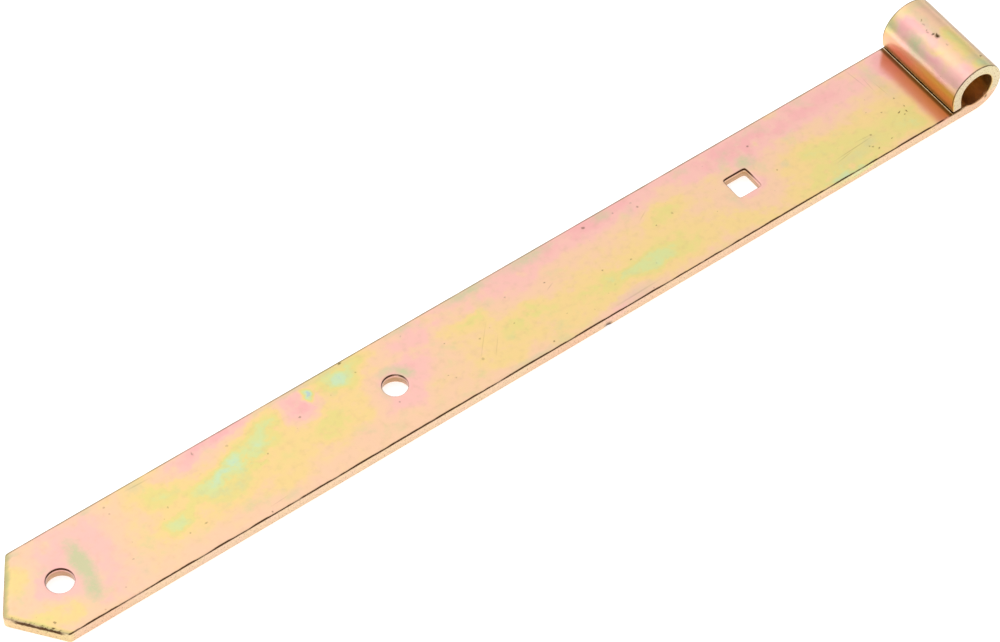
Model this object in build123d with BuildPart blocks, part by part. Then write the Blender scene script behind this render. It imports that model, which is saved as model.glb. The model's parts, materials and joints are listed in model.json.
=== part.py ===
"""Strap of a strap hinge for a gate: a flat steel bar with its pin eye rolled from the same bar.

Frame (mm): origin at the middle of the eye's bore axis. +Y runs along the pin, -X runs along
the strap to its pointed end, and +Z points from the strap's back face to the side that the eye
is rolled on.
"""

import math
import os

from build123d import *

os.makedirs("parts", exist_ok=True)

# ---------------------------------------------------------------- driving dimensions
# Bar
strap_length = 400.0        # pin axis to the blunt point
strap_width = 40.0
strap_thickness = 5.0

# Pointed end
point_length = 14.0         # shoulders to the blunt point, along the strap
point_radius = 2.0
shoulder_radius = 1.0

# Rolled eye
eye_bore_diameter = 14.0
roll_thinning = 1.0         # thickness that the bar loses where it is rolled round the pin
lip_lean = 0.6              # how far the last quarter of the roll leans in towards the pin
seam_gap = 0.3              # between the end of the roll and the strap's front face
lip_outer_radius = 0.8      # rounded outer corner of the roll's end
lip_inner_chamfer = 0.4

# Round holes, for 8 mm bolts or coach screws
end_hole_from_point = 23.0
middle_hole_from_end_hole = 136.0
bolt_diameter = 8.0
end_hole_clearance = 0.9    # all round the bolt: wide, so that the strap can be levelled
middle_hole_clearance = 0.6

# Square hole, for the square neck of an M8 carriage bolt
square_hole_from_pin = 90.5
neck_width = 8.6
neck_clearance = 0.6        # on each side of the neck
square_corner_radius = 0.8

# Edges
edge_round = 0.4            # sheared long edges, pointed end and ends of the eye
punch_rollover = 0.4        # metal drawn into each hole where the punch went in
punch_breakout = 0.4        # flare of each hole where the punch came out

# ---------------------------------------------------------------- sizes worked out from them
eye_wall = strap_thickness - roll_thinning
bore_radius = eye_bore_diameter / 2
eye_radius = bore_radius + eye_wall
back_z = -eye_radius
front_z = back_z + strap_thickness
lip_z = front_z + seam_gap
floor_angle = math.degrees(math.asin(-front_z / bore_radius))
floor_x = -bore_radius * math.cos(math.radians(floor_angle))
shoulder_x = point_length - strap_length
slope_angle = math.atan2(strap_width / 2, point_length)
apex_x = -strap_length - point_radius * (1 / math.sin(slope_angle) - 1)
end_hole_radius = bolt_diameter / 2 + end_hole_clearance
middle_hole_radius = bolt_diameter / 2 + middle_hole_clearance
square_side = neck_width + 2 * neck_clearance
end_hole_x = end_hole_from_point - strap_length
middle_hole_x = end_hole_x + middle_hole_from_end_hole
square_hole_x = -square_hole_from_pin

# ---------------------------------------------------------------- strap with its rolled eye
with BuildPart() as hinge_strap:
    # Side view of the bar: flat, then rolled once round the pin until it lands on itself.
    with BuildSketch(Plane.XZ):
        with BuildLine():
            Line((apex_x, back_z), (0, back_z))
            CenterArc((0, 0), eye_radius, -90, 270)
            TangentArc((-eye_radius, 0), (lip_lean - eye_radius, lip_z), tangent=(0, -1))
            Line((lip_lean - eye_radius, lip_z), (lip_lean - bore_radius, lip_z))
            TangentArc((-bore_radius, 0), (lip_lean - bore_radius, lip_z), tangent=(0, -1))
            CenterArc((0, 0), bore_radius, 180, floor_angle - 360)
            Line((floor_x, front_z), (apex_x, front_z))
            Line((apex_x, front_z), (apex_x, back_z))
        make_face()
    extrude(amount=strap_width / 2, both=True)

    # End of the roll: a rounded outer corner and a broken inner one.
    lip_corners = hinge_strap.edges().filter_by(Axis.Y).filter_by_position(
        Axis.Z, lip_z - 0.01, lip_z + 0.01
    )
    lip_corners = lip_corners.sort_by(Axis.X)
    fillet(lip_corners[0], radius=lip_outer_radius)
    chamfer(lip_corners[-1], length=lip_inner_chamfer)

    # Plan view: the bar keeps its width up to the shoulders and then runs to a point.
    with BuildSketch(Plane.XY.offset(back_z)):
        with BuildLine():
            Polyline(
                (apex_x, 0),
                (shoulder_x, -strap_width / 2),
                (eye_radius, -strap_width / 2),
                (eye_radius, strap_width / 2),
                (shoulder_x, strap_width / 2),
                close=True,
            )
        make_face()
    extrude(amount=2 * eye_radius, mode=Mode.INTERSECT)

    # Point and shoulders are slightly blunt.
    plan_corners = hinge_strap.edges().filter_by(Axis.Z).sort_by(Axis.X)
    fillet(plan_corners[0], radius=point_radius)
    fillet(plan_corners[1:3], radius=shoulder_radius)

    # Sheared edges along the flat bar, round its point and round both ends of the eye.
    side_faces = hinge_strap.faces().filter_by(Axis.Y)
    fillet(side_faces.edges(), radius=edge_round)

    # Punched holes, straight through the bar.
    with BuildSketch(Plane.XY.offset(front_z)):
        with Locations((end_hole_x, 0)):
            Circle(end_hole_radius)
        with Locations((middle_hole_x, 0)):
            Circle(middle_hole_radius)
        with Locations((square_hole_x, 0)):
            RectangleRounded(square_side, square_side, square_corner_radius)
    extrude(amount=-strap_thickness, mode=Mode.SUBTRACT)

    # The punch drew the front rims down and broke the back rims out.
    broad_faces = hinge_strap.faces().filter_by(Axis.Z).sort_by(SortBy.AREA)[-2:]
    back_face, front_face = broad_faces.sort_by(Axis.Z)
    for rim in front_face.inner_wires():
        fillet(rim.edges(), radius=punch_rollover)
    for rim in back_face.inner_wires():
        chamfer(rim.edges(), length=punch_breakout)

hinge_strap.part.label = "hinge_strap"
export_step(hinge_strap.part, "parts/hinge_strap.step")
overall = hinge_strap.part.bounding_box().size
print(f"overall {overall.X:.1f} x {overall.Y:.1f} x {overall.Z:.1f} mm")
print(f"volume {hinge_strap.part.volume:.0f} mm3")
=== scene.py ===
"""Strap of a gate hinge: a pointed flat bar with its pin eye rolled from the same bar.

The strap is modelled as it is made: a flat blank is cut to its point and punched, and its end is
then rolled round the pin. It is finished in bright zinc with a yellow chromate film, whose colour
follows the film's thickness from pink through gold to green. Everything is in metres, in the
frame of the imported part.
"""

from __future__ import annotations

import json
import logging
import math
from dataclasses import dataclass
from enum import Enum
from typing import ClassVar, Iterable, Sequence

import bmesh
import bpy
from mathutils import Matrix, Vector, noise

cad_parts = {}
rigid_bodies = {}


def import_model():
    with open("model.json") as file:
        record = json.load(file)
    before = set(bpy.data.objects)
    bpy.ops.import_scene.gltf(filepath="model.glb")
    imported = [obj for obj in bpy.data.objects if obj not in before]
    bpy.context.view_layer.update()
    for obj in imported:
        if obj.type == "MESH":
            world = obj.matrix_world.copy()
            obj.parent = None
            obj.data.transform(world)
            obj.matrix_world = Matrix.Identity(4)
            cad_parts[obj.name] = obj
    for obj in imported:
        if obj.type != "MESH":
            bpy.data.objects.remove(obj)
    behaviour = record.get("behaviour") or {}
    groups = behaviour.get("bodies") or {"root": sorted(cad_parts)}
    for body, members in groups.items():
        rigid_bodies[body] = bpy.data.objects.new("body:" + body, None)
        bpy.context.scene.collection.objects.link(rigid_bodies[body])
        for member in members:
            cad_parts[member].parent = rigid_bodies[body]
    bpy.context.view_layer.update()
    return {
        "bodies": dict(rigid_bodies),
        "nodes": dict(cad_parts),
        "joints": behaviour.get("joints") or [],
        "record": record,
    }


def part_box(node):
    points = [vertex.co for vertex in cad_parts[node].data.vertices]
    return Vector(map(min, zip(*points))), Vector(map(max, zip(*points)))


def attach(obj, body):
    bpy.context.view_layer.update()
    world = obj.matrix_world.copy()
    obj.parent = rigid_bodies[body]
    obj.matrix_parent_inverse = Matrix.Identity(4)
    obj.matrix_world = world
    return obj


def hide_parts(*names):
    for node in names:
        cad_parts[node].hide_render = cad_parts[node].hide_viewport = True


LOG = logging.getLogger("hinge")
MM = 0.001
Colour = tuple[float, float, float, float]
Span = tuple[float, float]
Coat = tuple[Colour, "Wire"]

# Where spots of the finish are placed unless they say otherwise, in mm
STRAP_FRONT_Z = -6.0
EYE_RADIUS = 11.0


def rgb(red: int, green: int, blue: int) -> Colour:
    """Turn a screen colour into the linear colour that a shader takes.

    Args:
        red: Red, 0 to 255.
        green: Green, 0 to 255.
        blue: Blue, 0 to 255.

    Returns:
        The linear colour with an alpha of 1.
    """
    def linear(part: int) -> float:
        """Undo the screen's curve for one channel."""
        share = part / 255
        return share / 12.92 if share <= 0.04045 else ((share + 0.055) / 1.055) ** 2.4

    return (linear(red), linear(green), linear(blue), 1.0)


def smoothstep(low: float, high: float, value: float) -> float:
    """Ease from 0 to 1 as a value passes from low to high.

    Args:
        low: Value where the result is 0.
        high: Value where the result is 1.
        value: The value itself.

    Returns:
        A share between 0 and 1.
    """
    share = min(max((value - low) / (high - low), 0.0), 1.0)
    return share * share * (3 - 2 * share)


def put_in_scene(name: str, data: bpy.types.ID) -> bpy.types.Object:
    """Make an object of this data and link it to the scene.

    Args:
        name: The object's name.
        data: Its mesh, lamp or camera.

    Returns:
        The object.
    """
    made = bpy.data.objects.new(name, data)
    bpy.context.scene.collection.objects.link(made)
    return made


def mesh_from(bm: bmesh.types.BMesh, name: str) -> bpy.types.Mesh:
    """Turn a bmesh into a mesh.

    Args:
        bm: The bmesh, which is freed.
        name: The mesh's name.

    Returns:
        The mesh.
    """
    mesh = bpy.data.meshes.new(name)
    bm.to_mesh(mesh)
    bm.free()
    return mesh


def looking(direction: Vector) -> Matrix:
    """Find the turn that makes a lamp or a camera look along a direction."""
    return direction.to_track_quat("-Z", "Y").to_matrix().to_4x4()


# ------------------------------------------------------------------------------ shader writing
class Wire:
    """A number on its way through a material: arithmetic on it adds Math nodes."""

    def __init__(self, bench: Bench, socket: bpy.types.NodeSocket) -> None:
        """Wrap an output socket of the bench's node tree."""
        self.bench = bench
        self.socket = socket

    def maths(self, operation: str, *others: Wire | float) -> Wire:
        """Add one Math node.

        Args:
            operation: The node's operation.
            others: The further values that it takes.

        Returns:
            The node's result.
        """
        inputs = dict(enumerate((self, *others)))
        node = self.bench.node("ShaderNodeMath", {"operation": operation}, inputs)
        return Wire(self.bench, node.outputs[0])

    def __add__(self, other: Wire | float) -> Wire:
        """Add."""
        return self.maths("ADD", other)

    def __radd__(self, other: float) -> Wire:
        """Add, the other way round."""
        return self.maths("ADD", other)

    def __sub__(self, other: Wire | float) -> Wire:
        """Subtract."""
        return self.maths("SUBTRACT", other)

    def __rsub__(self, other: float) -> Wire:
        """Subtract this from a number."""
        return (self * -1.0) + other

    def __mul__(self, other: Wire | float) -> Wire:
        """Multiply."""
        return self.maths("MULTIPLY", other)

    def __rmul__(self, other: float) -> Wire:
        """Multiply, the other way round."""
        return self.maths("MULTIPLY", other)

    def __pow__(self, power: float) -> Wire:
        """Raise to a power."""
        return self.maths("POWER", power)

    def larger(self, other: Wire | float) -> Wire:
        """Take the larger of two."""
        return self.maths("MAXIMUM", other)

    def size(self) -> Wire:
        """Drop the sign."""
        return self.maths("ABSOLUTE")

    def clamp(self) -> Wire:
        """Keep between 0 and 1."""
        return self.maths("MINIMUM", 1.0).larger(0.0)

    def ease(self, low: float, high: float) -> Wire:
        """Ease from 0 to 1 between two values.

        Args:
            low: Value where the result is 0.
            high: Value where the result is 1.

        Returns:
            The eased share.
        """
        node = self.bench.node(
            "ShaderNodeMapRange",
            {"interpolation_type": "SMOOTHSTEP"},
            {"Value": self, "From Min": low, "From Max": high},
        )
        return Wire(self.bench, node.outputs["Result"])

    def fade(self, low: float, high: float) -> Wire:
        """Ease from 1 to 0 between two values."""
        return 1.0 - self.ease(low, high)


class Bench:
    """Where one material or world is put together, node by node."""

    def __init__(self, tree: bpy.types.NodeTree) -> None:
        """Start on an empty node tree."""
        self.tree = tree
        tree.nodes.clear()

    def node(self, kind: str, settings: dict, inputs: dict) -> bpy.types.Node:
        """Add a node.

        Args:
            kind: The node's type.
            settings: Its properties; "ramp" holds a colour ramp's stops.
            inputs: Socket name or number to a value, a Wire or another node's output.

        Returns:
            The new node.
        """
        made = self.tree.nodes.new(kind)
        for name, value in settings.items():
            if name == "ramp":
                self._set_ramp(made.color_ramp, value)
            else:
                setattr(made, name, value)
        for name, value in inputs.items():
            socket = made.inputs[name]
            if isinstance(value, Wire):
                value = value.socket
            if isinstance(value, bpy.types.NodeSocket):
                self.tree.links.new(value, socket)
            else:
                socket.default_value = value
        return made

    def _set_ramp(self, ramp: bpy.types.ColorRamp, stops: Sequence[tuple[float, Colour]]) -> None:
        """Give a colour ramp its stops.

        Args:
            ramp: The ramp.
            stops: Place and colour of each stop, in order.
        """
        ramp.interpolation = "EASE"
        while len(ramp.elements) < len(stops):
            ramp.elements.new(0.5)
        for element, (place, colour) in zip(ramp.elements, stops):
            element.position = place
            element.color = colour

    def wire(self, kind: str, settings: dict, inputs: dict, output: str | int = 0) -> Wire:
        """Add a node and take one of its outputs as a number.

        Args:
            kind: The node's type.
            settings: Its properties.
            inputs: Its socket values or links.
            output: Name or number of the output.

        Returns:
            The output.
        """
        return Wire(self, self.node(kind, settings, inputs).outputs[output])

    def vector_maths(self, operation: str, inputs: dict) -> bpy.types.NodeSocket:
        """Add a Vector Math node and take its vector."""
        return self.node("ShaderNodeVectorMath", {"operation": operation}, inputs).outputs[0]

    def mix(self, under: object, over: object, share: Wire | float) -> bpy.types.NodeSocket:
        """Lay one colour over another.

        Args:
            under: Colour or socket that shows where the share is 0.
            over: Colour or socket that shows where the share is 1.
            share: How much of the upper colour shows.

        Returns:
            The mixed colour's socket.
        """
        made = self.node("ShaderNodeMix", {"data_type": "RGBA"}, {"Factor": share})
        for socket, colour in ((made.inputs[6], under), (made.inputs[7], over)):
            if isinstance(colour, bpy.types.NodeSocket):
                self.tree.links.new(colour, socket)
            else:
                socket.default_value = colour
        return made.outputs[2]


def new_material(name: str) -> tuple[bpy.types.Material, Bench]:
    """Start a material.

    Args:
        name: Its name.

    Returns:
        The material, and the bench that it is put together on.
    """
    material = bpy.data.materials.new(name)
    material.use_nodes = True
    return material, Bench(material.node_tree)


def finish_surface(bench: Bench, inputs: dict) -> None:
    """Add a material's surface shader and its output."""
    shader = bench.node("ShaderNodeBsdfPrincipled", {}, inputs)
    bench.node("ShaderNodeOutputMaterial", {}, {"Surface": shader.outputs[0]})


# ------------------------------------------------------------------------------ finishes
@dataclass(frozen=True)
class Spot:
    """A soft-edged spot on the surface, in mm: a patch of film, a veil, a stain or a scratch."""

    x: float
    y: float
    reach_x: float
    reach_y: float
    strength: float
    turn: float = 0.0
    z: float = STRAP_FRONT_Z
    reach_z: float = 4.8

    @classmethod
    def on_eye(cls, lean: float, y: float, reach: float, reach_y: float, strength: float) -> Spot:
        """Place a spot on the outside of the eye.

        Args:
            lean: Degrees round the eye from its top, positive away from the strap.
            y: Place along the pin.
            reach: Reach round the eye.
            reach_y: Reach along the pin.
            strength: How much it changes what it lies on.

        Returns:
            The spot.
        """
        angle = math.radians(lean)
        x, z = EYE_RADIUS * math.sin(angle), EYE_RADIUS * math.cos(angle)
        return cls(x, y, reach, reach_y, strength, 0.0, z, reach)

    @classmethod
    def mark(cls, x: float, y: float, reach_x: float, reach_y: float, strength: float, turn: float = 0.0,
             z: float = STRAP_FRONT_Z, reach_z: float = 2.0) -> Spot:
        """Place a stain or a scratch, which reaches less deep than a patch of film."""
        return cls(x, y, reach_x, reach_y, strength, turn, z, reach_z)

    @classmethod
    def veil(cls, x: float, y: float, reach_x: float, reach_y: float, strength: float, turn: float = 0.0,
             z: float = STRAP_FRONT_Z) -> Spot:
        """Place a grey veil, where the film is thin and scuffed."""
        return cls(x, y, reach_x, reach_y, strength, turn, z, 5.0)


# Where the film came out thicker (+) or thinner (-) than round it: x, y, reach along the bar, reach
# across it, change of thickness and turn in degrees.
STRAP_FILM = tuple(Spot(*row) for row in (
    # Pointed end
    (-388, 8, 9, 9, 0.24), (-386, -10, 9, 9, 0.26), (-379, -14, 8, 6, 0.20), (-378, 0, 11, 12, -0.24),
    (-372, 12, 14, 9, -0.10), (-368, 3, 34, 34, -0.16), (-357, 4, 15, 22, -0.10),
    (-366, -14, 9, 8, -0.10), (-350, 0, 10, 24, 0.07),
    # Between the end hole and the middle hole
    (-310, -2, 70, 20, 0.15), (-270, 0, 45, 16, 0.12), (-333, -4, 11, 6, 0.34), (-320, -2, 12, 6, 0.16),
    (-309, -4, 10, 7, 0.18), (-309, 4, 20, 7, 0.46, 4), (-291, 9, 19, 9, 0.42, 16),
    (-284, 14, 12, 7, 0.14), (-330, 9, 12, 7, 0.24), (-316, 17, 18, 7, -0.34), (-300, 20, 22, 6, -0.42),
    (-272, 12, 11, 11, -0.46), (-268.5, 13.5, 4.4, 5.4, 0.95), (-256, 14, 13, 9, 0.55),
    (-246, 17, 12, 6, 0.25), (-266, -3, 12, 9, 0.14), (-292, -13, 14, 8, 0.12), (-239, -2, 20, 16, -0.34),
    (-224, 14, 26, 12, -0.22), (-228, 6, 14, 10, -0.12), (-212, 9, 16, 5, 0.18),
    # Between the middle hole and the square hole
    (-202, 7, 10, 7, 0.22), (-187, -3, 18, 7, 0.22), (-204, -14, 12, 8, 0.12), (-160, -8, 80, 15, 0.20),
    (-152, -7, 16, 6, 0.18), (-138, -10, 16, 6, 0.26), (-120, 5, 14, 7, 0.20), (-150, 18, 100, 13, -0.34),
    (-158, -19, 26, 6, -0.20), (-185, 10, 30, 9, -0.06), (-120, -12, 26, 10, 0.14),
    (-98, -13, 16, 9, 0.16),
    # Round the square hole and up to the eye
    (-80, 13, 36, 14, -0.38), (-90, -4, 14, 11, -0.26), (-44, 13, 36, 15, -0.36), (-97, 8, 7, 5, 0.14),
    (-50, -9, 48, 15, 0.28), (-60, -17, 44, 8, 0.24), (-56, -20, 20, 3, 0.34), (-24, -14, 14, 9, 0.18),
    (-60, -3, 12, 6, 0.12), (-16, 12, 9, 14, -0.36), (-15, -10, 7, 16, -0.16),
))

# The same on the eye: degrees round it, place along the pin, the two reaches and the change.
EYE_FILM = tuple(Spot.on_eye(*row) for row in (
    (14, -3, 6, 13, 0.34), (8, 2, 4, 5, 0.10), (25, -18, 6, 5, 0.42), (22, 13, 7, 9, -0.10),
    (-20, 6, 5, 14, -0.34), (-36, 13, 6, 9, -0.44), (-36, -16, 6, 8, -0.30), (-14, -16, 4, 6, -0.24),
    (-36, -4, 4, 6, 0.10), (-56, 19, 6, 7, 0.40), (-60, -4, 5, 18, -0.26), (-82, 9, 6, 14, -0.34),
    (-66, 17, 5, 6, -0.24), (-52, -8, 4, 12, -0.14),
))

SCRATCHES = tuple(Spot.mark(*row) for row in (
    (-49, -11.2, 12, 0.32, 0.55, 3), (-54, -12.4, 6, 0.26, 0.45, 9), (-43, -9.6, 5, 0.24, 0.40, -4),
    (-206, -3, 12, 0.30, 0.30, 48), (-203, -7, 7, 0.28, 0.30, 50), (-28, 14, 0.35, 8, 0.35, 6),
    (-26, 9, 0.30, 6, 0.30, -3), (-23.6, 5, 0.30, 6, 0.30, 4), (-128, 9, 4, 0.3, 0.35, 30),
    (-173, 3, 3, 0.3, 0.4, 24), (-150, -17.5, 14, 0.5, 0.35, 1), (-300, -16.6, 6, 0.3, 0.3, 3),
    (-335, 17.5, 7, 0.4, 0.4, -2),
))

STAINS = tuple(Spot.mark(*row) for row in (
    # Beside the eye
    (-25.4, -7.6, 1.1, 0.45, 1.0, 20), (-22.8, -8.7, 0.55, 0.8, 1.0), (-24.2, -9.6, 0.6, 0.4, 0.9),
    (-22.0, -6.4, 0.4, 0.6, 0.8), (-35, -15.6, 0.6, 0.4, 0.9), (-41.5, -16.4, 0.8, 0.4, 0.9, 20),
    (-43, -14.6, 0.7, 0.4, 0.8), (-30.5, -4.0, 0.4, 0.5, 0.7),
    # Along the bar
    (-251, 19.0, 1.2, 0.7, 1.0), (-313, 17.2, 0.5, 1.3, 0.6), (-325, -9.4, 1.0, 0.5, 0.7),
    (-127, 13.4, 0.7, 0.6, 0.7), (-173.5, 5.6, 0.6, 0.4, 0.8), (-143, -4.2, 0.6, 0.4, 0.8),
    (-154, -2.2, 0.6, 0.5, 0.7), (-186, -17.2, 0.7, 0.5, 0.9), (-77, -2.8, 0.4, 0.4, 0.8),
    (-206, -1.0, 0.8, 0.5, 0.6), (-217, 4.5, 0.4, 0.4, 0.8), (-224, -7.5, 0.4, 0.4, 0.7),
    # On the eye
    (-1.7, 1.3, 1.3, 1.4, 1.5, 0, 10.8), (-2.2, 3.0, 1.0, 0.7, 1.2, 0, 10.7),
    (-1.2, 2.2, 0.7, 0.6, 0.8, 0, 10.9), (-3.0, 5.0, 0.5, 0.9, 0.5, 0, 10.5),
    (-2.0, 8.6, 0.5, 1.0, 0.5, 0, 10.8), (-1.4, -3.8, 0.5, 0.9, 0.4, 0, 10.9),
    (5.6, -14.2, 1.6, 0.45, 0.9, 20, 9.4), (-1.5, 10.6, 0.9, 0.35, 0.7, 30, 10.9),
    (-2.8, 6.0, 0.5, 0.5, 0.6, 0, 10.6), (4.5, -19.8, 0.9, 1.2, 1.6, 0, -5.7),
))

VEILS = tuple(Spot.veil(*row) for row in (
    # Pointed end
    (-367.5, 1, 5.5, 17, 1.7, -4), (-371, -10, 4.5, 6, 1.1), (-352, -14, 4, 5, 0.3),
    (-386, 18.5, 8, 2.4, 0.7), (-380, 6, 4, 2.4, 0.45),
    # Far long edge
    (-336, 18, 5, 5, 0.6), (-355, 18.5, 5, 2.5, 0.6), (-265, 19, 30, 2.2, 0.55), (-226, 18.6, 9, 3, 0.75),
    (-198, 18.6, 16, 3.8, 1.1), (-172, 18.4, 16, 4.8, 0.95), (-140, 17.5, 6, 4, 0.8),
    # Near long edge
    (-295, -17, 6, 3, 0.45), (-150, -17.5, 14, 4, 0.45), (-196, -19, 16, 2, 0.6),
    (-60, -18.5, 10, 2, 0.3),
    # Round the holes and beside the eye
    (-235.4, 3.0, 3.8, 6.5, 1.3, 30), (-240.5, 6.8, 6, 2.6, 0.8), (-246, -1, 2, 7, 0.4),
    (-84, 6.8, 5.5, 5.0, 1.1), (-97, -5, 3, 8, 0.3), (-73, -2.4, 3, 2.4, 0.6), (-43, -12, 5, 3, 0.55),
    (-52, -14, 12, 4, 0.4), (-23, 12, 4, 8, 0.55), (-22, 3, 4, 9, 0.35),
    # On the eye
    (5.0, -18, 6, 4, 1.0, 0, 9.6), (2, -14, 5, 4, 0.6, 0, 10.8), (-7.5, 6, 6, 6, 1.0, 0, 8.0),
    (-9.5, 3, 4, 8, 0.9, 0, 5.4), (-9, 18, 5, 5, 0.9, 0, 6.0), (-1.4, 8, 3, 14, 0.55, 0, 10.9),
    (3, 18, 6, 4, 0.5, 0, 10.6),
))


@dataclass(frozen=True)
class HoleZone:
    """Where a hole's wall and rim lie, for the finish (mm)."""

    x: float
    half: float
    square: bool


@dataclass(frozen=True)
class BarShape:
    """The strap's sizes and places that the finish follows (mm)."""

    half_width: float
    front_z: float
    tip: tuple[float, float]
    shoulder_x: float
    bore_radius: float
    eye_radius: float
    seam_x: float
    ridge_x: float
    holes: tuple[HoleZone, ...]


@dataclass(frozen=True)
class Grain:
    """A noise: its scale per metre, its detail, and its squeeze along the bar, which draws it out."""

    scale: float
    detail: float
    along: float = 1.0


@dataclass(frozen=True)
class Stir:
    """A stirring of the coordinates, so that no spot keeps a drawn outline: scale per metre, metres."""

    scale: float
    reach: float


@dataclass(frozen=True)
class Layer:
    """A tone of the finish, and how much of it shows at most."""

    tone: Colour
    share: float

    def over(self, where: Wire) -> Coat:
        """Lay the tone where the wire is 1."""
        return self.tone, where * self.share


class Site:
    """What a finish reads at every place of the strap: coordinates in mm, noises and regions."""

    def __init__(self, bench: Bench, shape: BarShape) -> None:
        """Read the piece's own coordinates.

        Args:
            bench: The bench that the material is put together on.
            shape: The strap's sizes.
        """
        self.bench = bench
        self.shape = shape
        self.place = bench.node("ShaderNodeTexCoord", {}, {}).outputs["Object"]
        parts = bench.node("ShaderNodeSeparateXYZ", {}, {0: self.place}).outputs
        self.x, self.y, self.z = (Wire(bench, part) * (1 / MM) for part in parts)
        self.from_middle = self.y.size()
        self.radius = (self.x * self.x + self.z * self.z) ** 0.5
        self.ragged = self.noise(Grain(440.0, 5, 0.30))

    def noise(self, grain: Grain) -> Wire:
        """Add a noise.

        Args:
            grain: What it is like.

        Returns:
            The noise, about 0.5 on average.
        """
        squeeze = {"Vector": self.place, "Scale": (grain.along, 1.0, 1.0)}
        where = self.bench.node("ShaderNodeMapping", {}, squeeze).outputs[0]
        inputs = {"Vector": where, "Scale": grain.scale, "Detail": grain.detail, "Roughness": 0.55}
        return self.bench.wire("ShaderNodeTexNoise", {"noise_dimensions": "3D"}, inputs)

    def stirred(self, stir: Stir) -> bpy.types.NodeSocket:
        """Stir the coordinates.

        Args:
            stir: How finely and how far.

        Returns:
            The stirred coordinates.
        """
        inputs = {"Vector": self.place, "Scale": stir.scale, "Detail": 4.0, "Roughness": 0.6}
        noise_colour = self.bench.node("ShaderNodeTexNoise", {}, inputs).outputs["Color"]
        centred = self.bench.vector_maths("SUBTRACT", {0: noise_colour, 1: (0.5, 0.5, 0.5)})
        small = self.bench.vector_maths("SCALE", {0: centred, "Scale": stir.reach})
        return self.bench.vector_maths("ADD", {0: self.place, 1: small})

    def spots(self, where: bpy.types.NodeSocket, spots: Iterable[Spot], share: float = 1.0) -> Wire:
        """Add up spots, each fading from its strength at its centre to 0 at its edge.

        Args:
            where: Coordinates that the spots are read in.
            spots: The spots.
            share: What their strengths are multiplied by.

        Returns:
            The sum.
        """
        total: Wire | float = 0.0
        for spot in spots:
            inputs = {
                "Vector": where,
                "Location": (spot.x * MM, spot.y * MM, spot.z * MM),
                "Rotation": (0.0, 0.0, math.radians(spot.turn)),
                "Scale": (spot.reach_x * MM, spot.reach_y * MM, spot.reach_z * MM),
            }
            near = self.bench.node("ShaderNodeMapping", {"vector_type": "TEXTURE"}, inputs)
            settings = {"gradient_type": "SPHERICAL"}
            ball = self.bench.wire("ShaderNodeTexGradient", settings, {"Vector": near.outputs[0]}, 1)
            total = ball.ease(0.0, 1.0) * (spot.strength * share) + total
        return total

    def past_slope(self, side: int) -> Wire:
        """Measure how far outside a sloping edge of the point a place lies.

        Args:
            side: 1 for the far slope, -1 for the near one.

        Returns:
            The distance, negative inside.
        """
        tip_x, tip_y = self.shape.tip
        run = self.shape.shoulder_x - tip_x
        rise = self.shape.half_width - side * tip_y
        square_on = rise / math.hypot(run, rise)
        return ((self.y - tip_y) * (side * run / rise) - (self.x - tip_x)) * square_on

    def past_slopes(self) -> Wire:
        """Measure how far outside the nearer sloping edge a place lies."""
        return self.past_slope(-1).larger(self.past_slope(1))

    def drop(self) -> Wire:
        """Measure how far below the strap's front face a place lies."""
        return self.z * -1.0 + self.shape.front_z

    def on_front(self, below: Span, above: Span) -> Wire:
        """Find the strap's front face.

        Args:
            below: Heights from the face between which the share rises from 0 to 1.
            above: Heights from the face between which it falls back to 0.

        Returns:
            1 on the face, 0 well below and above it.
        """
        height = self.z - self.shape.front_z
        return height.ease(*below) * height.fade(*above)

    def outside_eye(self) -> Wire:
        """Find the outside of the eye, as against its wall and its bore."""
        return self.radius.ease(self.shape.eye_radius - 0.5, self.shape.eye_radius - 0.2)

    def eye_end(self) -> Wire:
        """Find the flat rings at the two ends of the eye.

        Returns:
            1 on the rings.
        """
        half, eye_radius = self.shape.half_width, self.shape.eye_radius
        end = self.from_middle.ease(half - 0.25, half - 0.05)
        return end * self.x.ease(-eye_radius - 0.2, -eye_radius) * self.z.ease(-6.5, -3.5)

    def sides(self) -> Wire:
        """Find the sheared faces round the bar: its long sides and its point.

        Returns:
            1 on them.
        """
        half = self.shape.half_width
        return self.from_middle.ease(half - 0.18, half - 0.06).larger(self.past_slopes().ease(-0.30, -0.12))


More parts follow.
